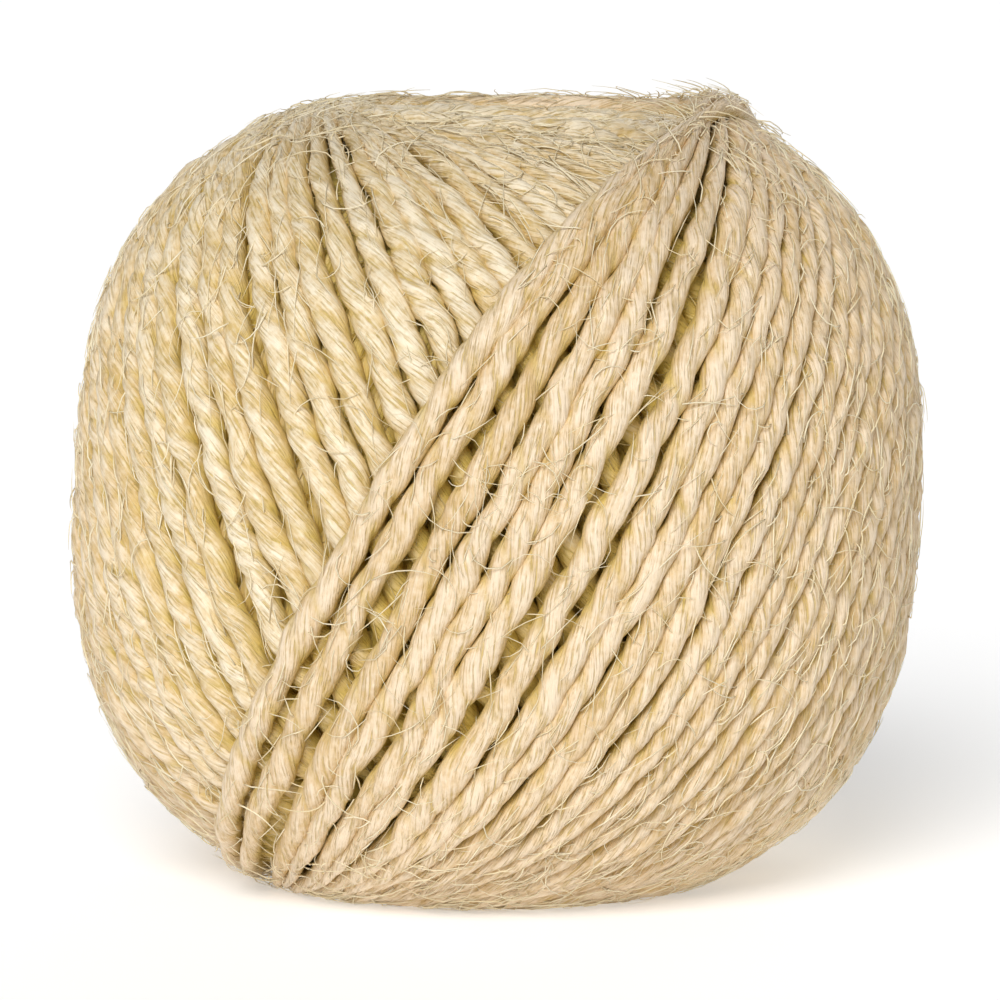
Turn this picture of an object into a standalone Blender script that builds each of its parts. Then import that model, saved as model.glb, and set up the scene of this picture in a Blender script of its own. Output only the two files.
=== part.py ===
"""A cross-wound ball of sisal twine, about 80 mm wide, as one solid.

The ball is a squarish barrel. Every turn of twine goes round it in one plane, which leans from the
ball's upright axis, and each turn is laid a few degrees further round than the one before. So the
newest turn lies on top along its whole length, and each hub holds a shallow hollow with a swirl of
turns round its rim. Units are metres, +Z is up, and the ball stands on a small flat at z = 0.
"""

import math
import random

import bmesh
import bpy
import numpy as np
from mathutils import Matrix

# The wound body
HALF_WIDTH = 0.0414
HALF_HEIGHT = 0.0402
SQUARENESS = 2.6
RIM_RISE = 0.0006
RIM_ANGLE = 28.0
RIM_SPREAD = 7.0

# The twine and how it is laid
TWINE_WIDTH = 0.0029
LAYER_RISE = 0.0020
GROOVE_DEPTH = 0.0011
GROOVE_REACH = 1.25
TURN_STEP = 5.1
PARTING_STEP = 2.2
TILT = 27.0
TILT_WANDER = 1.8
STEP_JITTER = 0.5
LAST_TURN_PLACE = 162.5
FULL_ROUND = 360.0
LAYER_ROUND = 180.0
LAY_SEED = 11

# The newest turns, which stand apart in front. Columns: degrees on from the turn before, tilt
NEWEST_TURNS = (
    (0.0, 29.0),
    (5.0, 28.0),
    (5.6, 26.0),
    (4.6, 26.0),
    (4.6, 25.5),
    (4.6, 27.0),
    (5.6, 26.0),
)
# Degrees back from the last turn at which neighbouring turns have parted
PARTINGS = (50.0, 88.0, 158.0, 170.0, 187.0, 207.0, 220.0, 229.0)

# Older turns that line the hub hollows. Columns: tilt, depth below the body, turns in the ring
HUB_RINGS = (
    (23.5, 0.0022, 26),
    (19.5, 0.0036, 22),
    (15.5, 0.0050, 18),
    (11.5, 0.0062, 14),
    (7.5, 0.0072, 10),
    (3.5, 0.0080, 7),
)
HUB_FLOOR_DEPTH = 0.0086
HUB_JITTER = 3.0
HUB_TILT_JITTER = 1.0
HUB_STAGGER = 0.0008

# How it stands: the hub rim is uneven, so the ball leans, and the rim is pressed flat below
LEAN_RIGHT = 2.5
LEAN_BACK = 1.5
FLAT_DEPTH = 0.0016

# How closely the surface is measured, and how far to a side of a turn
CREST_SPACING = 0.0031
SHOULDER_REACH = 0.42
FOOT_REACH = 0.58
EDGE_SPACING = 0.0003
LEAST_SPACING = 0.00100
FILL_SPACING = 0.0024
COVER_REACH = 0.50
TURN_SAMPLES = 960
FILL_POINTS = 5200
SHARP_ANGLE = 60.0
GOLDEN_ANGLE = math.pi * (3.0 - math.sqrt(5.0))

TWINE_COLOUR = (0.70, 0.58, 0.36, 1.0)
TWINE_ROUGHNESS = 0.8


def clear_scene():
    """Removes whatever the scene holds."""
    for item in list(bpy.data.objects):
        bpy.data.objects.remove(item, do_unlink=True)


def body_radius(directions):
    """Distance from the centre to the plain wound body along unit directions."""
    across = np.hypot(directions[:, 0], directions[:, 1])
    along = np.abs(directions[:, 2])
    terms = (across / HALF_WIDTH) ** SQUARENESS + (along / HALF_HEIGHT) ** SQUARENESS
    from_pole = np.degrees(np.arctan2(across, along))
    rim = RIM_RISE * np.exp(-(((from_pole - RIM_ANGLE) / RIM_SPREAD) ** 2))
    return terms ** (-1.0 / SQUARENESS) + rim


def outer_turns():
    """The last full round of winding, newest first, as (place round the axis, tilt, depth)."""
    rng = random.Random(LAY_SEED)
    turns = []
    age = 0.0
    while age < FULL_ROUND:
        if len(turns) < len(NEWEST_TURNS):
            step, tilt = NEWEST_TURNS[len(turns)]
        else:
            step = TURN_STEP + rng.uniform(-STEP_JITTER, STEP_JITTER)
            tilt = TILT + rng.uniform(-TILT_WANDER, TILT_WANDER)
        if any(age < parting <= age + step for parting in PARTINGS):
            step += PARTING_STEP
        age += step
        turns.append((LAST_TURN_PLACE + age, tilt, LAYER_RISE * age / LAYER_ROUND))
    return turns


def hub_turns():
    """The older turns that show only inside the hub hollows."""
    rng = random.Random(LAY_SEED + 1)
    turns = []
    for tilt, depth, count in HUB_RINGS:
        for number in range(count):
            place = FULL_ROUND * number / count + rng.uniform(-HUB_JITTER, HUB_JITTER)
            lean = tilt + rng.uniform(-HUB_TILT_JITTER, HUB_TILT_JITTER)
            turns.append((place, lean, depth + HUB_STAGGER * number / count))
    return turns


def turn_normals(turns):
    """The unit normal of each turn's plane."""
    place = np.radians([turn[0] for turn in turns])
    tilt = np.radians([turn[1] for turn in turns])
    return np.column_stack(
        [np.cos(place) * np.cos(tilt), np.sin(place) * np.cos(tilt), np.sin(tilt)]
    )


def surface_radius(directions, turns, normals):
    """Distance from the centre to the outside of the twine along unit directions."""
    body = body_radius(directions)
    height = body - HUB_FLOOR_DEPTH
    half = TWINE_WIDTH / 2.0
    for turn, normal in zip(turns, normals):
        off = np.abs(np.arcsin(np.clip(directions @ normal, -1.0, 1.0))) * body
        round_top = np.sqrt(np.clip(half**2 - off**2, 0.0, None)) - half
        top = body - turn[2] + np.maximum(round_top, -GROOVE_DEPTH)
        near = off < half * GROOVE_REACH
        height = np.where(near, np.maximum(height, top), height)
    return height


def turn_directions(normal, side):
    """Unit directions along a turn, set off to one side by an angle."""
    across = np.cross(normal, (0.0, 0.0, 1.0))
    across /= np.linalg.norm(across)
    up = np.cross(normal, across)
    angle = np.linspace(0.0, 2.0 * math.pi, TURN_SAMPLES, endpoint=False)[:, None]
    ring = np.cos(angle) * across + np.sin(angle) * up
    return math.cos(side) * ring + math.sin(side) * normal


def uncovered(directions, newer):
    """Whether each direction is clear of all newer turns."""
    if not len(newer):
        return np.ones(len(directions), bool)
    body = body_radius(directions)[:, None]
    off = np.abs(np.arcsin(np.clip(directions @ np.array(newer).T, -1.0, 1.0))) * body
    return (off > TWINE_WIDTH * COVER_REACH).all(axis=1)


class Picker:
    """Keeps directions that stand clear of those already kept, newest turn first."""

    def __init__(self):
        self.kept = np.empty((0, 3))

    def take(self, direction, spacing):
        """Keeps one direction if nothing kept is nearer than the spacing."""
        if len(self.kept) and (self.kept @ direction).max() > math.cos(spacing / HALF_WIDTH):
            return False
        self.kept = np.vstack([self.kept, direction])
        return True


def surface_directions(normals):
    """The directions to measure: along each crest, each groove, the free edge and the bare rest."""
    picker = Picker()
    step = CREST_SPACING / HALF_WIDTH
    stride = max(1, int(step / (2.0 * math.pi / TURN_SAMPLES)))
    for reach in (SHOULDER_REACH, FOOT_REACH):
        for direction in turn_directions(normals[0], -TWINE_WIDTH * reach / HALF_WIDTH)[::stride]:
            picker.take(direction, EDGE_SPACING)
    for number, normal in enumerate(normals):
        groove = normal + normals[min(number + 1, len(normals) - 1)]
        groove /= np.linalg.norm(groove)
        for line_normal in (normal, groove):
            line = turn_directions(line_normal, 0.0)[::stride]
            for direction in line[uncovered(line, normals[:number])]:
                picker.take(direction, LEAST_SPACING)
    for number in range(FILL_POINTS):
        height = 1.0 - 2.0 * (number + 0.5) / FILL_POINTS
        round_axis = math.sqrt(1.0 - height * height)
        turn = GOLDEN_ANGLE * number
        direction = np.array((round_axis * math.cos(turn), round_axis * math.sin(turn), height))
        picker.take(direction, FILL_SPACING)
    return picker.kept


def leaned(directions):
    """The same directions once the ball leans as it stands."""
    lean = Matrix.Rotation(math.radians(-LEAN_BACK), 3, "X")
    lean = Matrix.Rotation(math.radians(LEAN_RIGHT), 3, "Y") @ lean
    return directions @ np.array(lean).T


def wound_ball():
    """Builds the ball's closed mesh and stands it on its flat."""
    turns = outer_turns() + hub_turns()
    normals = turn_normals(turns)
    directions = surface_directions(normals)
    radius = surface_radius(directions, turns, normals)
    directions = leaned(directions)
    base = (directions[:, 2] * radius).min() + FLAT_DEPTH
    low = directions[:, 2] * radius < base
    radius[low] = base / directions[low, 2]

    ball = bmesh.new()
    for direction in directions:
        ball.verts.new(direction)
    bmesh.ops.convex_hull(ball, input=ball.verts)
    ball.verts.ensure_lookup_table()
    for vert, direction, reach in zip(ball.verts, directions, radius):
        vert.co = direction * reach
        vert.co.z -= base
    bmesh.ops.triangulate(ball, faces=ball.faces)
    bmesh.ops.recalc_face_normals(ball, faces=ball.faces)
    mesh = bpy.data.meshes.new("twine_ball")
    ball.to_mesh(mesh)
    ball.free()
    mesh.shade_smooth()
    mesh.set_sharp_from_angle(angle=math.radians(SHARP_ANGLE))
    return mesh


def twine_material():
    """Pale dry sisal."""
    material = bpy.data.materials.new("sisal_twine")
    material.use_nodes = True
    shader = material.node_tree.nodes["Principled BSDF"]
    shader.inputs["Base Color"].default_value = TWINE_COLOUR
    shader.inputs["Roughness"].default_value = TWINE_ROUGHNESS
    shader.inputs["Metallic"].default_value = 0.0
    return material


def main():
    """Clears the scene and makes the ball."""
    clear_scene()
    mesh = wound_ball()
    mesh.materials.append(twine_material())
    ball = bpy.data.objects.new("twine_ball", mesh)
    bpy.context.scene.collection.objects.link(ball)


main()
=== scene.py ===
"""A cross-wound ball of two-ply sisal twine, with every turn that shows and its stray fibres.

Each turn is a closed loop in one plane, laid a few degrees further round than the one before, so
the newest turn lies on top. The frame, the lean and the turns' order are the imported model's own.
Units are metres, +Z is up, and the photograph's side is -Y.
"""

import logging
import math
import random
from dataclasses import dataclass, field
from enum import Enum
from typing import Any, Union

import bmesh
import bpy
import numpy as np
from mathutils import Matrix, Vector


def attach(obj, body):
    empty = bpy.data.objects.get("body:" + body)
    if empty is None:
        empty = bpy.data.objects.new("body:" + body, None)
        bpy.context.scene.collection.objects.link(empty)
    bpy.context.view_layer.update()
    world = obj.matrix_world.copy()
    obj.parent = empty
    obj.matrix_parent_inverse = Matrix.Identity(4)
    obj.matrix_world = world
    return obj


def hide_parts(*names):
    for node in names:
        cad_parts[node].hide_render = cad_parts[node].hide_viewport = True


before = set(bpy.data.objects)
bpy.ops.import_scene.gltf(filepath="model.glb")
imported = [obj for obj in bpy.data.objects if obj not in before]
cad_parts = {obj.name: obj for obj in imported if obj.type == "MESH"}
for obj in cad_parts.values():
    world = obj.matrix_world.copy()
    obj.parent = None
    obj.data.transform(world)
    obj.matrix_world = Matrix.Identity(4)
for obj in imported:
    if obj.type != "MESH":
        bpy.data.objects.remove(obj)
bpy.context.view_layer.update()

BODY = "root"
BALL_NODE = "twine_ball"
FULL_ROUND = 360.0
LAYER_ROUND = 180.0
FIBRE_MAP = "fibre"
GROOVE = "groove"
SHADE = "shade"
BLUSH = "blush"
NOISE_MIDDLE = 0.5
WHITE_LIGHT = (1.0, 1.0, 1.0, 1.0)

Colour = tuple[float, float, float]
Point = tuple[float, float, float]
Range = tuple[float, float]

log = logging.getLogger(BALL_NODE)


def unit_rows(rows: np.ndarray) -> np.ndarray:
    """The same vectors, one a row, at unit length."""
    return rows / np.linalg.norm(rows, axis=1)[:, None]


def run_length(points: np.ndarray) -> np.ndarray:
    """Length along a line of points to each of them."""
    gaps = np.linalg.norm(np.diff(points, axis=0), axis=1)
    return np.concatenate(([0.0], np.cumsum(gaps)))


def put_in_scene(name: str, data: bpy.types.ID) -> bpy.types.Object:
    """Makes an object of the given data and links it to the scene.

    Args:
        name: The object's name.
        data: Its mesh, light or camera.

    Returns:
        The object.
    """
    item = bpy.data.objects.new(name, data)
    bpy.context.scene.collection.objects.link(item)
    return item


class Layer(Enum):
    """Which pieces a turn of twine belongs to."""

    NEWEST = "newest_turns"
    OUTER = "outer_turns"
    OLDER = "older_turns"
    UNDER = "under_turns"
    HUB = "hub_turns"


@dataclass(frozen=True)
class Turn:
    """One turn of twine: a loop in one plane through the ball's centre.

    Args:
        place: Where round the axis its plane faces, in degrees.
        tilt: How far its plane leans from the axis, in degrees.
        depth: How far it lies below the plain wound body.
        layer: Which pieces it belongs to.
        gap: Degrees between it and its neighbours.
    """

    place: float
    tilt: float
    depth: float
    layer: Layer
    gap: float

    def normal(self) -> np.ndarray:
        """The unit normal of the turn's plane.

        Returns:
            The normal, in the ball's own frame.
        """
        place, tilt = math.radians(self.place), math.radians(self.tilt)
        level = math.cos(tilt)
        return np.array((math.cos(place) * level, math.sin(place) * level, math.sin(tilt)))

    def spread(self, directions: np.ndarray) -> np.ndarray:
        """How far neighbouring turns spread at each direction: nought where they meet at a hub."""
        place = math.radians(self.place)
        return np.abs(directions @ np.array((-math.sin(place), math.cos(place), 0.0)))

    def summit(self) -> np.ndarray:
        """The direction of the turn's highest point, on the upper hub's rim.

        Returns:
            The unit direction, in the ball's own frame.
        """
        place, tilt = math.radians(self.place), math.radians(self.tilt)
        low = -math.sin(tilt)
        return np.array((math.cos(place) * low, math.sin(place) * low, math.cos(tilt)))


@dataclass(frozen=True)
class WoundBody:
    """The plain squarish barrel that the turns lie on, and how it stands."""

    half_width: float = 0.0414
    half_height: float = 0.0402
    squareness: float = 2.6
    rim_rise: float = 0.0002
    rim_angle: float = 28.0
    rim_spread: float = 7.0
    lean_right: float = 2.5
    lean_back: float = 1.5
    centre_height: float = 0.03619
    pressed_height: float = 0.0004

    def radius(self, directions: np.ndarray) -> np.ndarray:
        """Distance from the centre to the plain body.

        Args:
            directions: Unit directions, in the ball's own frame.

        Returns:
            One distance for each direction.
        """
        across = np.hypot(directions[..., 0], directions[..., 1])
        along = np.abs(directions[..., 2])
        terms = (across / self.half_width) ** self.squareness
        terms = terms + (along / self.half_height) ** self.squareness
        off_rim = (self.from_pole(directions) - self.rim_angle) / self.rim_spread
        return terms ** (-1.0 / self.squareness) + self.rim_rise * np.exp(-(off_rim**2))

    def from_pole(self, directions: np.ndarray) -> np.ndarray:
        """Degrees from the nearer pole to each direction."""
        across = np.hypot(directions[..., 0], directions[..., 1])
        return np.degrees(np.arctan2(across, np.abs(directions[..., 2])))

    def stand(self, points: np.ndarray) -> np.ndarray:
        """Leans and lifts points to where the ball stands, and presses its base flat.

        Args:
            points: Points about the ball's centre, in its own frame.

        Returns:
            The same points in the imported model's frame.
        """
        lean = Matrix.Rotation(math.radians(-self.lean_back), 3, "X")
        lean = Matrix.Rotation(math.radians(self.lean_right), 3, "Y") @ lean
        placed = points @ np.array(lean).T + np.array((0.0, 0.0, self.centre_height))
        low = placed[:, 2] < self.pressed_height
        below = placed[low, 2] / self.pressed_height - 1.0
        placed[low, 2] = self.pressed_height * np.exp(below)
        return placed


@dataclass(frozen=True)
class LayingRule:
    """How the twine is laid: the steps and tilts of its turns, newest first."""

    layer_rise: float = 0.0020
    # Degrees back from the last turn, and the usual step up to there
    turn_steps: tuple[Range, ...] = (
        (95.0, 3.95),
        (235.0, 5.1),
        (FULL_ROUND, 4.5),
        (FULL_ROUND * 2.0, 5.1),
    )
    step_jitter: float = 0.4
    tilt: float = 27.0
    tilt_wander: float = 0.9
    tilt_memory: float = 0.75
    parting_step: float = 0.9
    last_turn_place: float = 162.5
    lay_seed: int = 11
    under_reach: float = 200.0
    # Degrees on from the turn before, and tilt
    newest_turns: tuple[Range, ...] = (
        (0.0, 29.0),
        (5.1, 28.0),
        (6.1, 26.0),
        (4.4, 26.0),
        (4.4, 25.5),
        (4.4, 26.4),
        (6.2, 26.6),
        (5.2, 26.8),
    )
    # Degrees back from the last turn at which neighbouring turns have parted
    partings: tuple[float, ...] = (50.0, 88.0, 158.0, 170.0, 187.0, 207.0, 220.0, 229.0)
    # Tilt, depth below the body, and turns in the ring
    hub_rings: tuple[tuple[float, float, int], ...] = (
        (23.5, 0.0022, 26),
        (19.5, 0.0036, 22),
        (15.5, 0.0050, 18),
        (11.5, 0.0062, 14),
        (7.5, 0.0072, 10),
        (3.5, 0.0080, 7),
    )
    hub_jitter: float = 3.0
    hub_tilt_jitter: float = 1.0
    hub_stagger: float = 0.0008

    def outer(self) -> list[Turn]:
        """The turns of the last round and a half, newest first.

        Returns:
            The turns.
        """
        rng = random.Random(self.lay_seed)
        turns: list[Turn] = []
        age = wander = 0.0
        while age < FULL_ROUND + self.under_reach:
            if len(turns) < len(self.newest_turns):
                step, tilt = self.newest_turns[len(turns)]
            else:
                usual = next(step for reach, step in self.turn_steps if age < reach)
                step = usual + rng.uniform(-self.step_jitter, self.step_jitter)
                wander *= self.tilt_memory
                wander += rng.uniform(-self.tilt_wander, self.tilt_wander)
                tilt = self.tilt + wander
            gap = step or self.newest_turns[1][0]
            if any(age < parting <= age + step for parting in self.partings):
                step += self.parting_step
            layer = self.layer(len(turns), age)
            age += step
            depth = self.layer_rise * age / LAYER_ROUND
            turns.append(Turn(self.last_turn_place + age, tilt, depth, layer, gap))
        return turns

    def layer(self, number: int, age: float) -> Layer:
        """Which pieces a turn of the last rounds belongs to.

        Args:
            number: How many turns were laid after it.
            age: Degrees round from the last turn.

        Returns:
            Its layer.
        """
        if number < len(self.newest_turns):
            return Layer.NEWEST
        if age < LAYER_ROUND:
            return Layer.OUTER
        return Layer.OLDER if age < FULL_ROUND else Layer.UNDER

    def hub(self) -> list[Turn]:
        """The older turns that line the two hub hollows.

        Returns:
            The turns, the rim's ring first.
        """
        rng = random.Random(self.lay_seed + 1)
        turns: list[Turn] = []
        for tilt, depth, count in self.hub_rings:
            for number in range(count):
                place = FULL_ROUND * number / count + rng.uniform(-self.hub_jitter, self.hub_jitter)
                lean = tilt + rng.uniform(-self.hub_tilt_jitter, self.hub_tilt_jitter)
                lower = depth + self.hub_stagger * number / count
                turns.append(Turn(place, lean, lower, Layer.HUB, FULL_ROUND / count))
        return turns


@dataclass(frozen=True)
class Stretch:
    """A stretch of one turn that shows.

    Args:
        turn: The turn that it is part of.
        points: Its centre line, in the ball's own frame.
        low: How far each point lies below the twine on both sides of it.
        spacing: How far apart neighbouring turns lie at each point.
        shaded: How much its depth shades each point: little in the open hub hollows.
        shade: This turn's place between pale and deep straw, from 0 to 1.
        closed: Whether it goes all the way round.
    """

    turn: Turn
    points: np.ndarray
    low: np.ndarray
    spacing: np.ndarray
    shaded: np.ndarray
    shade: float
    closed: bool

    def run(self) -> np.ndarray:
        """Length along the centre line to each point."""
        return run_length(self.points)

    def along(self) -> np.ndarray:
        """Unit directions along the centre line.

        Returns:
            One direction for each point.
        """
        ahead = np.gradient(self.points, axis=0)
        if self.closed:
            ahead[0] = ahead[-1] = self.points[1] - self.points[-2]
        return unit_rows(ahead)


@dataclass
class Winding:
    """Lays the turns on the body and finds the stretches that show."""

    body: WoundBody
    rule: LayingRule
    width: float = 0.0029
    samples: int = 720
    step: float = 0.00072
    hub_step: float = 0.0010
    side_wander: float = 0.00016
    crowded_wander: float = 0.25
    hub_spacing: float = 0.0026
    hub_shade: float = 0.25
    hollow_edge: Range = (25.5, 30.0)
    hub_sink: float = 0.0030
    hub_rank: float = 0.02
    hub_reach: float = 37.0
    height_wander: float = 0.00007
    summit_rise: float = 0.0016
    summit_reach: float = 12.0
    summit_fade: float = 0.0004
    wander_waves: tuple[int, ...] = (3, 7, 12, 19, 31)
    cover_share: float = 0.40
    crest_share: float = 1.15
    own_reach: float = 0.001
    smoothing: int = 6
    beneath: float = 0.0022
    crossing: Range = (0.0002, 0.0006)
    cover_offsets: tuple[float, ...] = (-0.42, -0.2, 0.0, 0.2, 0.42)
    overlap: float = 0.0030
    least_stretch: float = 0.0015
    least_points: int = 4
    end_dive: float = 0.0014
    dive_curve: float = 1.5
    seed: int = 5
    turns: list[Turn] = field(default_factory=list)
    normals: np.ndarray = field(default_factory=lambda: np.empty((0, 3)))
    depths: np.ndarray = field(default_factory=lambda: np.empty(0))
    ranks: np.ndarray = field(default_factory=lambda: np.empty(0))

    def lay(self) -> list[Stretch]:
        """Lays every turn.

        Returns:
            The stretches that show, newest turn first.
        """
        self.turns = self.rule.outer() + self.rule.hub()
        self.normals = np.array([turn.normal() for turn in self.turns])
        self.depths = np.array([turn.depth for turn in self.turns])
        in_hub = np.array([turn.layer is Layer.HUB for turn in self.turns])
        self.ranks = self.depths + self.hub_rank * in_hub
        rng = random.Random(self.seed)
        stretches: list[Stretch] = []
        for number, turn in enumerate(self.turns):
            directions = self.ring(self.normals[number])
            points = self.centre_line(turn, directions, rng)
            shade = rng.random()
            low = self.low(number, directions)
            if turn.layer is not Layer.HUB:
                dip = self.smooth(self.dip(low))
                points = points - directions * dip[:, None]
                low = self.smooth(low) + dip
            spacing, shaded = self.spacing(turn, directions), self.shading(directions)
            track = np.column_stack((points, low, spacing, shaded))
            for picked in self.runs(self.shown(number, directions)):
                closed = len(picked) > self.samples
                stretches.append(self.stretch(turn, track[picked], shade, closed))
        return stretches

    def ring(self, normal: np.ndarray) -> np.ndarray:
        """Unit directions all the way round a turn.

        Args:
            normal: The unit normal of the turn's plane.

        Returns:
            The directions, one a row.
        """
        across = np.cross(normal, (0.0, 0.0, 1.0))
        across /= np.linalg.norm(across)
        up = np.cross(normal, across)
        angle = np.linspace(0.0, math.tau, self.samples, endpoint=False)[:, None]
        return np.cos(angle) * across + np.sin(angle) * up

    def wander(self, rng: random.Random, amount: float) -> np.ndarray:
        """A smooth closed waver round a turn.

        Args:
            rng: Where its unevenness comes from.
            amount: About how far it goes to either side.

        Returns:
            One value for each direction of the turn.
        """
        angle = np.linspace(0.0, math.tau, self.samples, endpoint=False)
        total = np.zeros(self.samples)
        for waves in self.wander_waves:
            total += rng.gauss(0.0, 1.0) * np.cos(waves * angle + rng.uniform(0.0, math.tau))
        return amount * total / math.sqrt(len(self.wander_waves) / 2.0)

    def centre_line(self, turn: Turn, directions: np.ndarray, rng: random.Random) -> np.ndarray:
        """The middle of the twine all the way round a turn.

        Args:
            turn: The turn.
            directions: Its unit directions.
            rng: Where its unevenness comes from.

        Returns:
            One point for each direction, in the ball's own frame.
        """
        radius = self.body.radius(directions) - turn.depth - self.width / 2.0
        radius = radius + self.wander(rng, self.height_wander)
        away = np.degrees(np.arccos(np.clip(directions @ turn.summit(), -1.0, 1.0)))
        rise = self.summit_rise * math.exp(-turn.depth / self.summit_fade)
        radius = radius + rise * np.exp(-((away / self.summit_reach) ** 2))
        if turn.layer is Layer.HUB:
            from_pole = self.body.from_pole(directions)
            radius = radius - np.interp(from_pole, self.hollow_edge, (0.0, self.hub_sink))
        free = self.crowded_wander + (1.0 - self.crowded_wander) * turn.spread(directions)
        sideways = self.wander(rng, self.side_wander) * free
        return directions * radius[:, None] + sideways[:, None] * turn.normal()

    def shading(self, directions: np.ndarray) -> np.ndarray:
        """How much a turn's depth shades it: little in the open hollows, all of it outside them."""
        from_pole = self.body.from_pole(directions)
        return np.interp(from_pole, self.hollow_edge, (self.hub_shade, 1.0))

    def spacing(self, turn: Turn, directions: np.ndarray) -> np.ndarray:
        """How far apart a turn and its neighbours lie at each direction.

        Args:
            turn: The turn.
            directions: Its unit directions.

        Returns:
            One distance for each direction.
        """
        if turn.layer is Layer.HUB:
            return np.full(len(directions), self.hub_spacing)
        widest = math.radians(turn.gap) * math.cos(math.radians(turn.tilt))
        return widest * turn.spread(directions) * self.body.radius(directions)

    def offsets(self, directions: np.ndarray, normals: np.ndarray) -> np.ndarray:
        """How far each direction lies to a side of each turn.

        Args:
            directions: Unit directions, one a row.
            normals: The turns' unit normals, one a row.

        Returns:
            Distances on the body, a row for each direction and a column for each turn.
        """
        angle = np.arcsin(np.clip(directions @ normals.T, -1.0, 1.0))
        return np.abs(angle) * self.body.radius(directions)[:, None]

    def low(self, number: int, directions: np.ndarray) -> np.ndarray:
        """How far a turn lies below the twine on both sides of it.

        Args:
            number: The turn's place in the list.
            directions: Its unit directions.

        Returns:
            One depth for each direction, nought where a side has nothing higher.
        """
        near = self.offsets(directions, self.normals) < self.width * self.crest_share
        facing = directions @ self.normals.T
        heights = self.depths if self.turns[number].layer is Layer.HUB else self.ranks
        sides = []
        for way in (1.0, -1.0):
            beside = near & (way * facing > -self.own_reach)
            sides.append(np.where(beside, heights[None, :], heights.max()).min(axis=1))
        return np.clip(self.depths[number] - np.maximum(*sides), 0.0, None)

    def smooth(self, value: np.ndarray) -> np.ndarray:
        """A value smoothed along a whole turn.

        Args:
            value: One value for each direction of the turn.

        Returns:
            The smoothed values.
        """
        window = np.arange(-self.smoothing, self.smoothing + 1)
        around = (np.arange(self.samples)[:, None] + window[None, :]) % self.samples
        return value[around].mean(axis=1)

    def dip(self, low: np.ndarray) -> np.ndarray:
        """How much lower a turn goes to pass beneath the turns that cross it.

        Args:
            low: How far it would lie below the twine on both sides of it.

        Returns:
            What it lacks of a full twine's depth where turns cross it, nought elsewhere.
        """
        start, full = self.crossing
        share = np.clip((low - start) / (full - start), 0.0, 1.0)
        return share * np.clip(self.beneath - low, 0.0, None)

    def shown(self, number: int, directions: np.ndarray) -> np.ndarray:
        """Whether any of the twine's width shows at each direction of a turn.

        Args:
            number: The turn's place in the list.
            directions: Its unit directions.

        Returns:
            One truth value for each direction.
        """
        above = self.normals[self.ranks < self.ranks[number]]
        if not len(above):
            return np.ones(len(directions), bool)
        shown = np.zeros(len(directions), bool)
        for offset in self.cover_offsets:
            side = offset * self.width / self.body.half_width
            edge = math.cos(side) * directions + math.sin(side) * self.normals[number]
            shown |= (self.offsets(edge, above) > self.width * self.cover_share).all(axis=1)
        if self.turns[number].layer is Layer.HUB:
            shown &= self.body.from_pole(directions) < self.hub_reach
        return shown

    def runs(self, shown: np.ndarray) -> list[np.ndarray]:
        """Runs of the samples that show, each a little longer at its ends.

        Args:
            shown: Which samples show.

        Returns:
            One array of sample numbers for each run.
        """
        length = math.tau * self.body.half_width / self.samples
        spare = int(self.overlap / length)
        grown = shown.copy()
        for shift in range(-spare, spare + 1):
            grown |= np.roll(shown, shift)
        if grown.all():
            return [np.arange(self.samples + 1) % self.samples]
        if not grown.any():
            return []
        order = (np.arange(self.samples) + int(np.argmin(grown))) % self.samples
        cuts = np.flatnonzero(np.diff(grown[order].astype(int))) + 1
        parts = [part for part in np.split(order, cuts) if grown[part[0]]]
        least = 2 * spare + int(self.least_stretch / length)
        return [part for part in parts if len(part) > least]

    def stretch(self, turn: Turn, track: np.ndarray, shade: float, closed: bool) -> Stretch:
        """One stretch, with its points set an even step apart.

        Args:
            turn: The turn that it is part of.
            track: Its sampled centre line, with the depth, spacing and shading beside each point.
            shade: This turn's shade.
            closed: Whether it goes all the way round.

        Returns:
            The stretch.
        """
        run = run_length(track[:, :3])
        step = self.hub_step if turn.layer in (Layer.HUB, Layer.UNDER) else self.step
        even = np.linspace(0.0, run[-1], max(self.least_points, int(run[-1] / step)))
        spaced = np.column_stack([np.interp(even, run, column) for column in track.T])
        points, low = spaced[:, :3], spaced[:, 3]
        if not closed:
            inside = np.minimum(even, run[-1] - even) / self.overlap
            dive = self.end_dive * np.clip(1.0 - inside, 0.0, 1.0) ** self.dive_curve
            points = points * (1.0 - dive / np.linalg.norm(points, axis=1))[:, None]
            low = low + dive
        return Stretch(turn, points, low, spaced[:, 4], spaced[:, 5], shade, closed)


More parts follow.
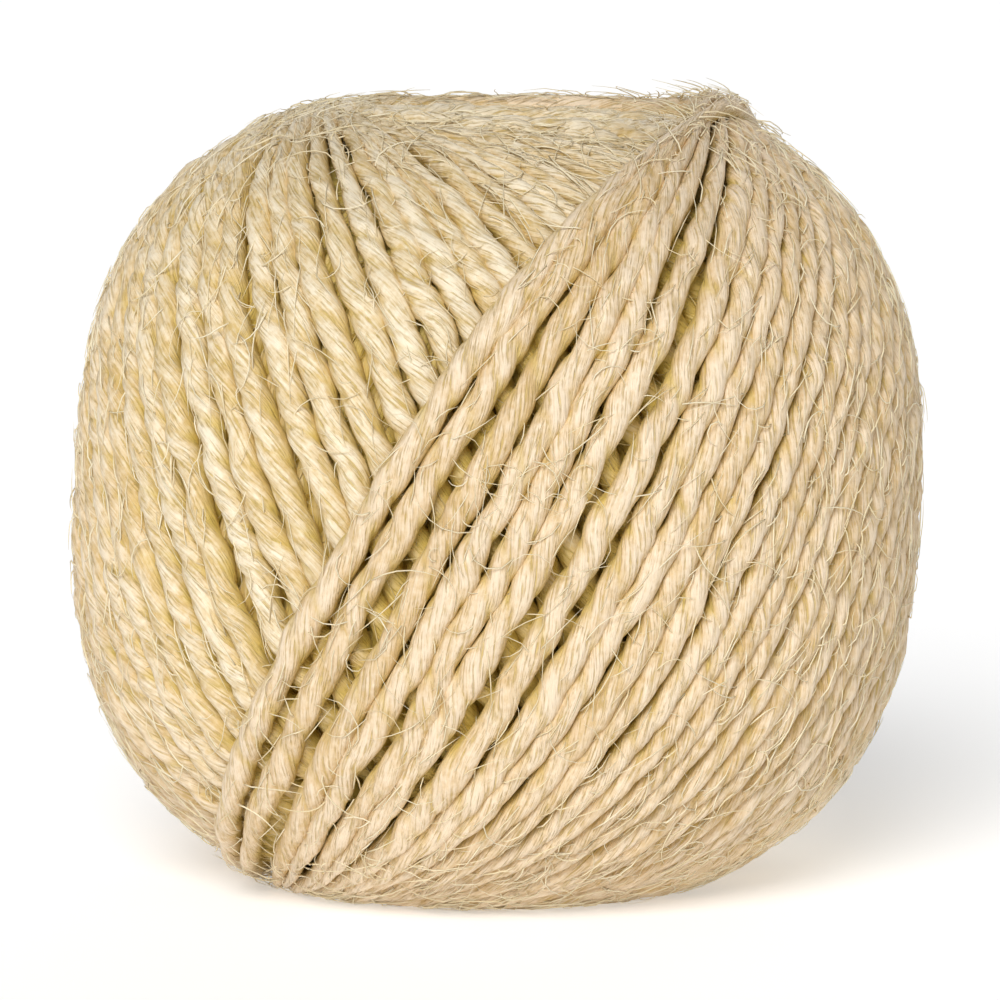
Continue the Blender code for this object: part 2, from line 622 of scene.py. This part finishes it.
class FibreMesh:
    """Gathers tubes into one mesh, with fibre coordinates and shading values."""

    def __init__(self) -> None:
        """Starts with nothing."""
        self.points: list[np.ndarray] = []
        self.corners: list[np.ndarray] = []
        self.sizes: list[np.ndarray] = []
        self.fibre: list[np.ndarray] = []
        self.values: dict[str, list[np.ndarray]] = {}
        self.count = 0
        self.triangles = 0

    def add_tube(
        self,
        rings: np.ndarray,
        fibre: np.ndarray,
        values: dict[str, np.ndarray],
        closed: bool = False,
    ) -> None:
        """Adds one tube, closed on itself or with flat ends.

        Args:
            rings: Points, as rings by points round by three.
            fibre: Fibre coordinates, as rings by points round and one more by two.
            values: Named shading values, each as rings by points round.
            closed: Whether its last ring is its first again.
        """
        if closed:
            rings = rings[:-1]
            values = {name: value[:-1] for name, value in values.items()}
        length, around = rings.shape[:2]
        grid = self.count + np.arange(length * around).reshape(length, around)
        after = np.roll(grid, -1, axis=0) if closed else grid[1:]
        before = grid if closed else grid[:-1]
        faces = (before, np.roll(before, -1, axis=1), np.roll(after, -1, axis=1), after)
        low, high = fibre[:-1], fibre[1:]
        places = (low[:, :-1], low[:, 1:], high[:, 1:], high[:, :-1])
        self.corners.append(np.stack(faces, axis=-1).reshape(-1))
        self.fibre.append(np.stack(places, axis=-2).reshape(-1, 2))
        self.sizes.append(np.full(before.size, 4))
        self.triangles += 2 * before.size
        if not closed:
            for ring, turned in ((0, -1), (length - 1, 1)):
                self.corners.append(grid[ring, ::turned])
                self.fibre.append(fibre[ring, :-1][::turned])
                self.sizes.append(np.array([around]))
                self.triangles += around - 2
        self.points.append(rings.reshape(-1, 3))
        for name, value in values.items():
            self.values.setdefault(name, []).append(value.reshape(-1))
        self.count += length * around

    def build(self, name: str, body: WoundBody) -> bpy.types.Object:
        """Makes the mesh object.

        Args:
            name: The piece's name.
            body: What leans and lifts the points.

        Returns:
            The object, in the scene.
        """
        mesh = bpy.data.meshes.new(name)
        corners, sizes = np.concatenate(self.corners), np.concatenate(self.sizes)
        mesh.vertices.add(self.count)
        mesh.vertices.foreach_set("co", body.stand(np.vstack(self.points)).reshape(-1))
        mesh.loops.add(len(corners))
        mesh.loops.foreach_set("vertex_index", corners.astype(np.int32))
        mesh.polygons.add(len(sizes))
        starts = np.concatenate(([0], np.cumsum(sizes)[:-1]))
        mesh.polygons.foreach_set("loop_start", starts.astype(np.int32))
        mesh.update(calc_edges=True)
        places = np.concatenate(self.fibre).astype(np.float32)
        mesh.uv_layers.new(name=FIBRE_MAP).data.foreach_set("uv", places.reshape(-1))
        for key, parts in self.values.items():
            layer = mesh.attributes.new(key, "FLOAT", "POINT")
            layer.data.foreach_set("value", np.concatenate(parts).astype(np.float32))
        mesh.shade_smooth()
        return put_in_scene(name, mesh)


@dataclass
class TwoPlyTwine:
    """Two plies twisted together, as one closed skin whose section turns along the twine."""

    width: float = 0.00292
    twist_pitch: Range = (0.0064, 0.0088)
    ply_offset: float = 0.074
    ply_half: float = 0.426
    relief_hold: float = 0.55
    relief_wander: float = 0.32
    relief_wave: float = 0.012
    squeeze: float = 1.08
    low_start: float = 0.0005
    least_squeeze: float = 0.45
    pressed_half: float = 0.46
    crease_depth: float = 0.20
    crease_sharpness: int = 5
    twist_wander: float = 0.45
    twist_wave: float = 0.045
    width_wander: float = 0.05
    width_wave: float = 0.03
    wave_shares: tuple[float, ...] = (1.0, 1.9, 3.3)
    wave_strength: Range = (0.4, 1.2)
    fibre_follow: float = 0.55
    grain_start: float = 5.0
    groove_reach: float = 0.0024
    blush_depth: float = 0.0017
    blush_fade: float = 0.0006
    section_angles: tuple[float, ...] = (90, 118, 147, 180, 213, 242, 270, 298, 327, 360, 393, 422)

    def section(self) -> tuple[np.ndarray, np.ndarray]:
        """The section of a twine one unit wide.

        Returns:
            Its corners' angles, and how far out each corner lies.
        """
        angle = np.radians(self.section_angles)
        side = self.ply_half**2 - (self.ply_offset * np.sin(angle)) ** 2
        return angle, self.ply_offset * np.abs(np.cos(angle)) + np.sqrt(side)

    def uneven(self, rng: random.Random, run: np.ndarray, wave: float) -> np.ndarray:
        """A smooth uneven value about nought along a run of twine.

        Args:
            rng: Where its unevenness comes from.
            run: Length along the run.
            wave: The length of its longest wave.

        Returns:
            One value for each length.
        """
        total = np.zeros(len(run))
        for share in self.wave_shares:
            start = rng.uniform(0.0, math.tau)
            strength = rng.uniform(*self.wave_strength)
            total += strength * np.sin(math.tau * run * share / wave + start)
        return total

    def meet(self, value: np.ndarray, run: np.ndarray, whole: float = 0.0) -> np.ndarray:
        """Bends a value along a closed run so that its end meets its start.

        Args:
            value: The value along the run.
            run: Length along the run.
            whole: A step that the end may differ by, or nought.

        Returns:
            The bent value.
        """
        miss = value[-1] - value[0]
        if whole:
            miss -= whole * round(miss / whole)
        return value - miss * run / run[-1]

    def add(self, parts: FibreMesh, stretch: Stretch, rng: random.Random) -> None:
        """Adds one stretch of twine to a mesh.

        Args:
            parts: The mesh being gathered.
            stretch: The stretch.
            rng: Where its unevenness comes from.
        """
        along, run = stretch.along(), stretch.run()
        side = unit_rows(np.cross(along, stretch.points))
        out = np.cross(side, along)
        pitch = rng.uniform(*self.twist_pitch)
        if stretch.turn.layer is Layer.NEWEST:
            pitch = self.twist_pitch[1]
        twist = rng.uniform(0.0, math.tau) - math.tau * run / pitch
        twist = twist + self.twist_wander * self.uneven(rng, run, self.twist_wave)
        width = self.width * (1.0 + self.width_wander * self.uneven(rng, run, self.width_wave))
        if stretch.closed:
            twist = self.meet(twist, run, math.tau)
            width = self.meet(width, run)
        angle, reach = self.section()
        turned = (twist[:, None] + angle[None, :])[..., None]
        share = np.clip(self.squeeze * stretch.spacing / self.width, self.least_squeeze, 1.0)
        relief = ((share - self.least_squeeze) / (1.0 - self.least_squeeze)) ** self.relief_hold
        patchy = 1.0 + self.relief_wander * self.uneven(rng, run, self.relief_wave)
        relief = (relief * patchy)[:, None]
        reach = self.pressed_half + (reach[None, :] - self.pressed_half) * relief
        reach = (reach * width[:, None])[..., None]
        squeezed = share[:, None, None]
        spokes = np.cos(turned) * out[:, None, :] + squeezed * np.sin(turned) * side[:, None, :]
        rings = stretch.points[:, None, :] + reach * spokes
        fibre = np.empty((len(run), len(angle) + 1, 2))
        round_angle = np.append(angle, angle[0] + math.tau)
        fibre_angle = round_angle[None, :] + self.fibre_follow * twist[:, None]
        fibre[..., 0] = rng.uniform(0.0, self.grain_start) + run[:, None]
        fibre[..., 1] = fibre_angle * self.width / 2.0
        rise = (np.cos(turned) * reach)[..., 0]
        # Groove value: how far each point lies below the twine beside it or down its flank, plus
        # the ply creases; the material turns it into painted shade and, where it is low, a painted
        # highlight
        low = np.clip(stretch.low - self.low_start, 0.0, None)[:, None]
        sunk = (low + self.width / 2.0 - rise) / self.groove_reach
        groove = sunk * stretch.shaded[:, None]
        crease = np.abs(np.sin(angle))[None, :] ** self.crease_sharpness
        groove = groove + self.crease_depth * relief * crease
        fresh = np.clip((self.blush_depth - stretch.turn.depth) / self.blush_fade, 0.0, 1.0)
        values = {
            GROOVE: groove,
            SHADE: np.full(rise.shape, stretch.shade),
            BLUSH: np.full(rise.shape, fresh),
        }
        parts.add_tube(rings, fibre, values, stretch.closed)


@dataclass
class StrayFibres:
    """Fibres that lie along the twine or have come loose from it."""

    body: WoundBody
    lying: int = 7000
    loose: int = 6200
    lying_segments: int = 3
    loose_segments: int = 5
    lying_length: Range = (0.002, 0.007)
    loose_length: Range = (0.0015, 0.0075)
    thickness: Range = (0.00009, 0.00019)
    lift: Range = (0.00004, 0.0003)
    loose_rise: Range = (0.0, 0.06)
    lying_slant: float = 0.25
    loose_slant: float = 0.8
    lying_turn: float = 0.35
    loose_turn: float = 1.6
    bow: Range = (0.6, 1.4)
    root_spread: float = 1.1
    root_share: float = 0.46
    end_sharpness: int = 6
    end_dip: float = 2.0
    taper: float = 0.75
    shade: Range = (0.4, 1.0)
    grain_length: float = 0.01
    section_angles: tuple[float, ...] = (0.0, 120.0, 240.0)
    seed: int = 33

    def pick(self, stretches: list[Stretch], rng: random.Random) -> tuple[Stretch, int]:
        """A stretch, longer ones sooner, and a point on it."""
        stretch = rng.choices(stretches, weights=[len(item.points) for item in stretches])[0]
        return stretch, rng.randrange(len(stretch.points))

    def axes(self, stretch: Stretch, place: int) -> tuple[np.ndarray, np.ndarray, np.ndarray]:
        """The directions at one point of a stretch.

        Args:
            stretch: The stretch.
            place: The point's number.

        Returns:
            Unit directions along it, to its side and out of it.
        """
        last = len(stretch.points) - 1
        ahead = stretch.points[min(place + 1, last)] - stretch.points[max(place - 1, 0)]
        ahead = ahead / np.linalg.norm(ahead)
        out = stretch.points[place] / np.linalg.norm(stretch.points[place])
        side = np.cross(ahead, out)
        side /= np.linalg.norm(side)
        return ahead, side, np.cross(side, ahead)

    def path(
        self, twine: TwoPlyTwine, stretch: Stretch, place: int, rng: random.Random, free: bool
    ) -> np.ndarray:
        """The middle of one fibre.

        Args:
            twine: The twine that it grows from.
            stretch: The stretch that it starts on.
            place: The point of the stretch that it starts at.
            rng: Where its shape comes from.
            free: Whether it stands loose of the twine.

        Returns:
            Its points from root to tip.
        """
        ahead, side, out = self.axes(stretch, place)
        about = rng.uniform(-self.root_spread, self.root_spread)
        spoke = math.cos(about) * out + math.sin(about) * side
        length = rng.uniform(*(self.loose_length if free else self.lying_length))
        forward = ahead * rng.choice((-1.0, 1.0))
        heading = forward + side * rng.gauss(0.0, self.loose_slant if free else self.lying_slant)
        heading /= np.linalg.norm(heading)
        rise = rng.uniform(*self.loose_rise) if free else 0.0
        lift = rng.uniform(*self.lift)
        turn = rng.gauss(0.0, self.loose_turn if free else self.lying_turn)
        bow = rng.uniform(*self.bow)
        start = stretch.points[place] + spoke * twine.width * self.root_share
        spot = start / np.linalg.norm(start)
        above = np.linalg.norm(start) + lift - self.body.radius(spot)
        points = []
        segments = self.loose_segments if free else self.lying_segments
        step = length / segments / np.linalg.norm(start)
        for number in range(segments + 1):
            share = number / segments
            risen = rise * length * math.sin(min(share * bow, 1.0) * math.pi / 2.0)
            height = self.body.radius(spot) + above + risen
            if not (free and share > 0.5):
                height -= abs(2.0 * share - 1.0) ** self.end_sharpness * self.end_dip * lift
            points.append(spot * height)
            heading = heading + np.cross(spot, heading) * turn / segments
            heading -= spot * (heading @ spot)
            heading /= np.linalg.norm(heading)
            spot = spot + heading * step
            spot /= np.linalg.norm(spot)
        return np.array(points)

    def add(
        self, parts: FibreMesh, path: np.ndarray, shade: float, groove: float, half: float
    ) -> None:
        """Adds one fibre to a mesh, thinning to its tip.

        Args:
            parts: The mesh being gathered.
            path: The middle of the fibre.
            shade: Its place between pale and deep straw.
            groove: How deep it lies, which its material turns into painted shade.
            half: Half its thickness at the root.
        """
        along = unit_rows(np.gradient(path, axis=0))
        side = unit_rows(np.cross(along, path))
        out = np.cross(side, along)
        angle = np.radians(self.section_angles)[None, :, None]
        share = np.linspace(0.0, 1.0, len(path))
        reach = (half * (1.0 - self.taper * share**2))[:, None, None]
        spokes = np.cos(angle) * out[:, None] + np.sin(angle) * side[:, None]
        fibre = np.zeros((len(path), 4, 2))
        fibre[..., 0] = share[:, None] * self.grain_length + shade
        fibre[..., 1] = np.arange(4)[None, :] * half + shade
        flat = np.ones((len(path), 3))
        values = {GROOVE: flat * groove, SHADE: flat * shade}
        parts.add_tube(path[:, None, :] + reach * spokes, fibre, values)

    def gather(self, twine: TwoPlyTwine, stretches: list[Stretch], free: bool) -> FibreMesh:
        """Gathers the lying or the loose fibres.

        Args:
            twine: The twine that they grow from.
            stretches: The stretches of twine that show.
            free: Whether to make the loose ones.

        Returns:
            Their mesh parts.
        """
        rng = random.Random(self.seed + int(free))
        parts = FibreMesh()
        for _ in range(self.loose if free else self.lying):
            stretch, place = self.pick(stretches, rng)
            path = self.path(twine, stretch, place, rng, free)
            # How deep the fibre's root lies, which its material turns into painted shade
            low = stretch.low[place] * stretch.shaded[place] / twine.groove_reach
            half = rng.uniform(*self.thickness) / 2.0
            self.add(parts, path, rng.uniform(*self.shade), low, half)
        return parts


@dataclass
class WoundHeart:
    """The inside of the ball that shows between parted turns, as one closed skin, in painted
    olive-brown shade.
    """

    body: WoundBody
    depth: float = 0.0052
    hub_depth: float = 0.0058
    hub_spread: float = 20.0
    detail: int = 5

    def build(self) -> bpy.types.Object:
        """Makes the skin.

        Returns:
            The object, in the scene.
        """
        mesh = bpy.data.meshes.new("wound_heart")
        ball = bmesh.new()
        bmesh.ops.create_icosphere(ball, subdivisions=self.detail, radius=1.0)
        ball.to_mesh(mesh)
        ball.free()
        directions = np.empty(len(mesh.vertices) * 3)
        mesh.vertices.foreach_get("co", directions)
        directions = unit_rows(directions.reshape(-1, 3))
        from_pole = self.body.from_pole(directions)
        hub = self.hub_depth * np.exp(-((from_pole / self.hub_spread) ** 2))
        radius = self.body.radius(directions) - self.depth - hub
        mesh.vertices.foreach_set("co", self.body.stand(directions * radius[:, None]).reshape(-1))
        mesh.shade_smooth()
        mesh.update()
        return put_in_scene("wound_heart", mesh)


class Value:
    """A number that changes over a surface, with the usual operators."""

    def __init__(self, recipe: "Recipe", link: bpy.types.NodeSocket) -> None:
        """Keeps the recipe that the value belongs to and the socket that gives it."""
        self.recipe = recipe
        self.link = link

    def maths(self, operation: str, *terms: Any) -> "Value":
        """A Math node on this value and others.

        Args:
            operation: The node's operation.
            terms: All its terms in order.

        Returns:
            The result.
        """
        keys = ("Value", "Value_001", "Value_002")
        sockets = dict(zip(keys, terms))
        return self.recipe.node("ShaderNodeMath", {"operation": operation}, sockets, "Value")

    def __add__(self, other: "Number") -> "Value":
        """This value plus another."""
        return self.maths("ADD", self, other)

    __radd__ = __add__

    def __sub__(self, other: "Number") -> "Value":
        """This value less another."""
        return self.maths("SUBTRACT", self, other)

    def __rsub__(self, other: "Number") -> "Value":
        """Another less this value."""
        return self.maths("SUBTRACT", other, self)

    def __mul__(self, other: "Number") -> "Value":
        """This value times another."""
        return self.maths("MULTIPLY", self, other)

    __rmul__ = __mul__

    def between(self, limits: Range) -> "Value":
        """Nought below two limits, one above them, and smooth between.

        Args:
            limits: The limits, the lower first.

        Returns:
            The result.
        """
        sockets = {"Value": self, "From Min": limits[0], "From Max": limits[1]}
        settings = {"interpolation_type": "SMOOTHSTEP"}
        return self.recipe.node("ShaderNodeMapRange", settings, sockets, "Result")

    def clamped(self) -> "Value":
        """This value held from nought to one."""
        return self.recipe.node("ShaderNodeClamp", {}, {"Value": self}, "Result")


Number = Union[Value, float]


@dataclass(frozen=True)
class Grain:
    """A cloudy pattern.

    Args:
        scale: How many clouds there are to a metre, along each axis.
        detail: How many finer layers it has.
        strength: How strong each finer layer is beside the one before.
    """

    scale: Point
    detail: float
    strength: float


class Recipe:
    """The nodes of one material."""

    def __init__(self, name: str) -> None:
        """Makes an empty material.

        Args:
            name: Its name.
        """
        self.material = bpy.data.materials.new(name)
        self.material.use_nodes = True
        self.tree = self.material.node_tree
        self.tree.nodes.clear()

    def node(
        self, kind: str, settings: dict[str, Any], sockets: dict[str, Any], result: str
    ) -> Value:
        """Adds one node.

        Args:
            kind: The node's type.
            settings: Its own settings, set first.
            sockets: Values or links for its sockets, by identifier.
            result: The identifier of the output that is wanted.

        Returns:
            That output.
        """
        node = self.tree.nodes.new(kind)
        for key, setting in settings.items():
            setattr(node, key, setting)
        inputs = {socket.identifier: socket for socket in node.inputs}
        for key, given in sockets.items():
            if isinstance(given, Value):
                self.tree.links.new(given.link, inputs[key])
            else:
                inputs[key].default_value = given
        outputs = {socket.identifier: socket for socket in node.outputs}
        return Value(self, outputs[result])

    def attribute(self, name: str) -> Value:
        """A shading value that the mesh carries."""
        return self.node("ShaderNodeAttribute", {"attribute_name": name}, {}, "Fac")

    def noise(self, places: Value, grain: Grain) -> Value:
        """Cloudy noise.

        Args:
            places: Where on the surface it is taken.
            grain: Its scale and make.

        Returns:
            Its value, about a half.
        """
        terms = {"Vector": places, "Vector_001": grain.scale}
        scaled = self.node("ShaderNodeVectorMath", {"operation": "MULTIPLY"}, terms, "Vector")
        sockets = {
            "Vector": scaled,
            "Scale": 1.0,
            "Detail": grain.detail,
            "Roughness": grain.strength,
        }
        return self.node("ShaderNodeTexNoise", {"noise_dimensions": "3D"}, sockets, "Fac")

    def mix(self, share: Number, low: Any, high: Any) -> Value:
        """A colour between two others.

        Args:
            share: How far it goes from the first to the second.
            low: The first colour, plain or as a link.
            high: The second colour, plain or as a link.

        Returns:
            The mixed colour.
        """
        sockets = {
            "Factor_Float": share,
            "A_Color": self.opaque(low),
            "B_Color": self.opaque(high),
        }
        return self.node("ShaderNodeMix", {"data_type": "RGBA"}, sockets, "Result_Color")

    def opaque(self, colour: Any) -> Any:
        """A plain colour with its fourth number, or a link as it is."""
        return colour if isinstance(colour, Value) else (*colour, 1.0)

    def surface(self, sockets: dict[str, Any]) -> bpy.types.Material:
        """Adds the shader and the output.

        Args:
            sockets: The shader's values and links.

        Returns:
            The finished material.
        """
        shader = self.node("ShaderNodeBsdfPrincipled", {}, sockets, "BSDF")
        output = self.tree.nodes.new("ShaderNodeOutputMaterial")
        self.tree.links.new(shader.link, output.inputs["Surface"])
        return self.material


@dataclass(frozen=True)
class SisalFinish:
    """Dry natural sisal: pale straw plies with fine fibres; painted shade in the grooves, painted
    highlights on the crests.
    """

    cream: Colour = (0.96, 0.835, 0.62)
    straw: Colour = (0.73, 0.52, 0.22)
    rosy: Colour = (0.92, 0.75, 0.54)
    tan: Colour = (0.70, 0.48, 0.22)
    # Painted shade: the olive that grooves, flanks and fibre cracks are mixed towards
    shade_olive: Colour = (0.74, 0.54, 0.14)
    # Painted shade for the deepest grooves
    deep: Colour = (0.76, 0.56, 0.10)
    streaks: Grain = Grain((260.0, 3300.0, 1.0), 3.0, 0.65)
    flecks: Grain = Grain((600.0, 1700.0, 1.0), 2.0, 0.6)
    patches: Grain = Grain((90.0, 500.0, 1.0), 1.0, 0.5)
    felt: Grain = Grain((1300.0, 1300.0, 1300.0), 2.0, 0.6)
    streak_tone: float = 2.2
    patch_tone: float = 1.3
    felt_tone: float = 1.4
    turn_tone: float = 0.45
    # Painted highlight: how much paler the ply crests are made
    crest_highlight_tone: float = 0.3
    middle_tone: float = 0.37
    # Groove values over which the painted crest highlight fades out
    crest_highlight: Range = (0.0, 0.45)
    # Fine cracks between fibres, from the streak and fleck noise: sunk by the bump and given
    # painted olive shade
    crack: Range = (0.30, 0.47)
    crack_flecks: float = 0.4
    crack_shade: float = 0.5
    crack_height: float = 0.25
    # Groove values where the painted olive shade and the deeper painted shade set in, and how
    # strong they are
    painted_shade: Range = (0.16, 0.85)
    deep_shade_range: Range = (0.45, 1.3)
    shade_strength: float = 0.9
    fine_height: float = 0.5
    roughness: float = 0.40
    specular: float = 0.5
    sheen: float = 0.15
    sheen_roughness: float = 0.45
    bump_height: float = 0.00020

    def material(self) -> bpy.types.Material:
        """Makes the material.

        Returns:
            The material for every piece of twine.
        """
        recipe = Recipe("sisal_fibre")
        places = recipe.node("ShaderNodeUVMap", {"uv_map": FIBRE_MAP}, {}, "UV")
        streaks = recipe.noise(places, self.streaks)
        flecks = recipe.noise(places, self.flecks)
        patches = recipe.noise(places, self.patches)
        felt = recipe.noise(recipe.node("ShaderNodeTexCoord", {}, {}, "Object"), self.felt)
        shade = recipe.attribute(SHADE)
        groove = recipe.attribute(GROOVE)
        tone = (streaks - NOISE_MIDDLE) * self.streak_tone + (flecks - NOISE_MIDDLE)
        tone = tone + (patches - NOISE_MIDDLE) * self.patch_tone
        tone = tone + (felt - NOISE_MIDDLE) * self.felt_tone
        tone = tone + (shade - NOISE_MIDDLE) * self.turn_tone
        # Painted highlight: the crests, where the groove value is low, are made paler
        crest_highlight = 1.0 - groove.between(self.crest_highlight)
        tone = (tone + crest_highlight * self.crest_highlight_tone + self.middle_tone).clamped()
        # Painted shade: the fine cracks are mixed towards olive as well as sunk by the bump
        cracked = streaks + (flecks - NOISE_MIDDLE) * self.crack_flecks
        cracks = 1.0 - cracked.between(self.crack)
        blush = recipe.attribute(BLUSH)
        low = recipe.mix(blush, self.straw, self.tan)
        high = recipe.mix(blush, self.cream, self.rosy)
        colour = recipe.mix(tone, low, high)
        # Painted shade: olive where the twine lies below its neighbours, down its flanks, in the
        # ply creases and in the fibre cracks; then deeper painted shade in the deepest grooves
        painted_shade = groove.between(self.painted_shade) * self.shade_strength + cracks * self.crack_shade
        colour = recipe.mix(painted_shade.clamped(), colour, self.shade_olive)
        colour = recipe.mix(groove.between(self.deep_shade_range) * self.shade_strength, colour, self.deep)
        height = streaks + (flecks + felt) * self.fine_height - cracks * self.crack_height
        sockets = {"Strength": 1.0, "Distance": self.bump_height, "Height": height}
        relief = recipe.node("ShaderNodeBump", {}, sockets, "Normal")
        return recipe.surface(
            {
                "Base Color": colour,
                "Roughness": self.roughness,
                "Specular IOR Level": self.specular,
                "Sheen Weight": self.sheen,
                "Sheen Roughness": self.sheen_roughness,
                "Sheen Tint": (*self.cream, 1.0),
                "Normal": relief,
            }
        )


@dataclass(frozen=True)
class HairFinish:
    """Single sisal fibres, paler than the twine, with painted olive shade where they root deep in a
    groove.
    """

    pale: Colour = (0.95, 0.86, 0.64)
    straw: Colour = (0.82, 0.66, 0.36)
    shade_olive: Colour = (0.70, 0.53, 0.16)
    painted_shade: Range = (0.1, 0.9)
    shade_strength: float = 0.8
    roughness: float = 0.45

    def material(self) -> bpy.types.Material:
        """Makes the material.

        Returns:
            The material for the lying and the loose fibres.
        """
        recipe = Recipe("sisal_hair")
        colour = recipe.mix(recipe.attribute(SHADE), self.straw, self.pale)
        # Painted shade: fibres rooted deep in a groove are mixed towards olive
        painted_shade = recipe.attribute(GROOVE).between(self.painted_shade) * self.shade_strength
        colour = recipe.mix(painted_shade, colour, self.shade_olive)
        return recipe.surface({"Base Color": colour, "Roughness": self.roughness})


@dataclass(frozen=True)
class HeartFinish:
    """The old twine deep inside, painted in olive-brown as shade."""

    shade_brown: Colour = (0.60, 0.45, 0.10)
    shade_olive: Colour = (0.76, 0.58, 0.16)
    grain: Grain = Grain((300.0, 300.0, 900.0), 3.0, 0.6)
    cloudy: Range = (0.35, 0.7)
    roughness: float = 0.85

    def material(self) -> bpy.types.Material:
        """Makes the material.

        Returns:
            The material for the inside.
        """
        recipe = Recipe("shaded_sisal")
        places = recipe.node("ShaderNodeTexCoord", {}, {}, "Object")
        share = recipe.noise(places, self.grain).between(self.cloudy)
        # Painted shade: clouds between brown and olive stand for the shade deep inside
        colour = recipe.mix(share, self.shade_brown, self.shade_olive)
        return recipe.surface({"Base Color": colour, "Roughness": self.roughness})


@dataclass(frozen=True)
class GroundFinish:
    """A plain white table, with a little light of its own that keeps it as pale as the room."""

    white: Colour = (0.96, 0.96, 0.96)
    roughness: float = 0.9
    glow: float = 0.36

    def material(self) -> bpy.types.Material:
        """Makes the material.

        Returns:
            The material for the table.
        """
        sockets = {
            "Base Color": (*self.white, 1.0),
            "Roughness": self.roughness,
            "Emission Color": WHITE_LIGHT,
            "Emission Strength": self.glow,
        }
        return Recipe("white_ground").surface(sockets)


@dataclass
class TwineBall:
    """The whole ball: its twine, its stray fibres and its inside in painted shade."""

    body: WoundBody = field(default_factory=WoundBody)
    rule: LayingRule = field(default_factory=LayingRule)
    twine: TwoPlyTwine = field(default_factory=TwoPlyTwine)
    seed: int = 77

    def build(self) -> list[bpy.types.Object]:
        """Builds and dresses every piece.

        Returns:
            The pieces.
        """
        finish = SisalFinish().material()
        stretches = Winding(self.body, self.rule).lay()
        pieces = self.turns(stretches)
        for piece in pieces:
            piece.data.materials.append(finish)
        fibres = StrayFibres(self.body)
        hair = HairFinish().material()
        for name, free in (("lying_fibres", False), ("loose_fibres", True)):
            piece = self.piece(fibres.gather(self.twine, stretches, free), name)
            piece.data.materials.append(hair)
            pieces.append(piece)
        heart = WoundHeart(self.body).build()
        heart.data.materials.append(HeartFinish().material())
        pieces.append(heart)
        for piece in pieces:
            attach(piece, BODY)
            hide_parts(BALL_NODE)
        return pieces

    def turns(self, stretches: list[Stretch]) -> list[bpy.types.Object]:
        """Builds the twine: the newest turns in one piece, the others in halves or quarters.

        Args:
            stretches: The stretches of twine that show, newest turn first.

        Returns:
            The pieces.
        """
        rng = random.Random(self.seed)
        groups: dict[str, FibreMesh] = {}
        for stretch in stretches:
            name = stretch.turn.layer.value
            middle = stretch.points.mean(axis=0)
            if stretch.turn.layer in (Layer.OUTER, Layer.OLDER):
                name = f"{'left' if middle[0] < 0.0 else 'right'}_{name}"
            if stretch.turn.layer is not Layer.NEWEST:
                name = f"{'upper' if middle[2] > 0.0 else 'lower'}_{name}"
            self.twine.add(groups.setdefault(name, FibreMesh()), stretch, rng)
        return [self.piece(parts, name) for name, parts in groups.items()]

    def piece(self, parts: FibreMesh, name: str) -> bpy.types.Object:
        """Makes one piece and reports it."""
        log.info("%s: %d triangles", name, parts.triangles)
        return parts.build(name, self.body)


@dataclass(frozen=True)
class SoftLight:
    """One soft distant light.

    Args:
        name: The light's name.
        place: Where it shines from.
        softness: How wide it looks, in degrees.
        strength: Its strength in watts on a square metre.
    """

    name: str
    place: Point
    softness: float
    strength: float

    def shine(self, aim: Point) -> None:
        """Shines the light on a point.

        Args:
            aim: The point.
        """
        lamp = bpy.data.lights.new(self.name, "SUN")
        lamp.angle = math.radians(self.softness)
        lamp.energy = self.strength
        holder = put_in_scene(self.name, lamp)
        holder.location = self.place
        facing = Vector(aim) - Vector(self.place)
        holder.rotation_euler = facing.to_track_quat("-Z", "Y").to_euler()


@dataclass
class Studio:
    """A white table in soft light, and the camera."""

    lights: tuple[SoftLight, ...] = (
        SoftLight("key_light", (-0.22, -1.0, 0.74), 30.0, 2.4),
        SoftLight("fill_light", (0.9, -0.9, 0.3), 40.0, 0.12),
        SoftLight("back_light", (0.2, 1.0, 0.4), 60.0, 0.7),
    )
    aim: Point = (0.0003, 0.0, 0.0356)
    distance: float = 0.6
    elevation: float = 7.2
    lens: float = 227.0
    sensor: float = 36.0
    sight: float = 10.0
    ground_size: float = 6.0
    sky: float = 0.18

    def build(self) -> None:
        """Sets up the ground, the lights and the camera."""
        self.ground()
        for light in self.lights:
            light.shine(self.aim)
        self.surroundings()
        self.camera()
        bpy.context.scene.view_settings.view_transform = "Standard"

    def ground(self) -> None:
        """Lays the white table."""
        half = self.ground_size / 2.0
        mesh = bpy.data.meshes.new("ground")
        corners = [(-half, -half, 0.0), (half, -half, 0.0), (half, half, 0.0), (-half, half, 0.0)]
        mesh.from_pydata(corners, [], [(0, 1, 2, 3)])
        mesh.materials.append(GroundFinish().material())
        ground = put_in_scene("ground", mesh)

    def surroundings(self) -> None:
        """Fills the room with even white light."""
        world = bpy.data.worlds.new("white_room")
        world.use_nodes = True
        back = world.node_tree.nodes["Background"]
        back.inputs["Color"].default_value = WHITE_LIGHT
        back.inputs["Strength"].default_value = self.sky
        bpy.context.scene.world = world

    def camera(self) -> None:
        """Sets the camera at the photograph's angle."""
        view = bpy.data.cameras.new("camera")
        view.lens = self.lens
        view.sensor_width = self.sensor
        view.clip_end = self.sight
        holder = put_in_scene("camera", view)
        rise = math.radians(self.elevation)
        away = Vector((0.0, -math.cos(rise), math.sin(rise))) * self.distance
        holder.location = Vector(self.aim) + away
        holder.rotation_euler = (-away).to_track_quat("-Z", "Y").to_euler()
        bpy.context.scene.camera = holder


def main() -> None:
    """Builds the ball and its studio, and reports every piece."""
    logging.basicConfig(level=logging.INFO, format="%(name)s %(message)s")
    for piece in TwineBall().build():
        log.info("%s is in place", piece.name)
    Studio().build()


if __name__ == "__main__":
    main()
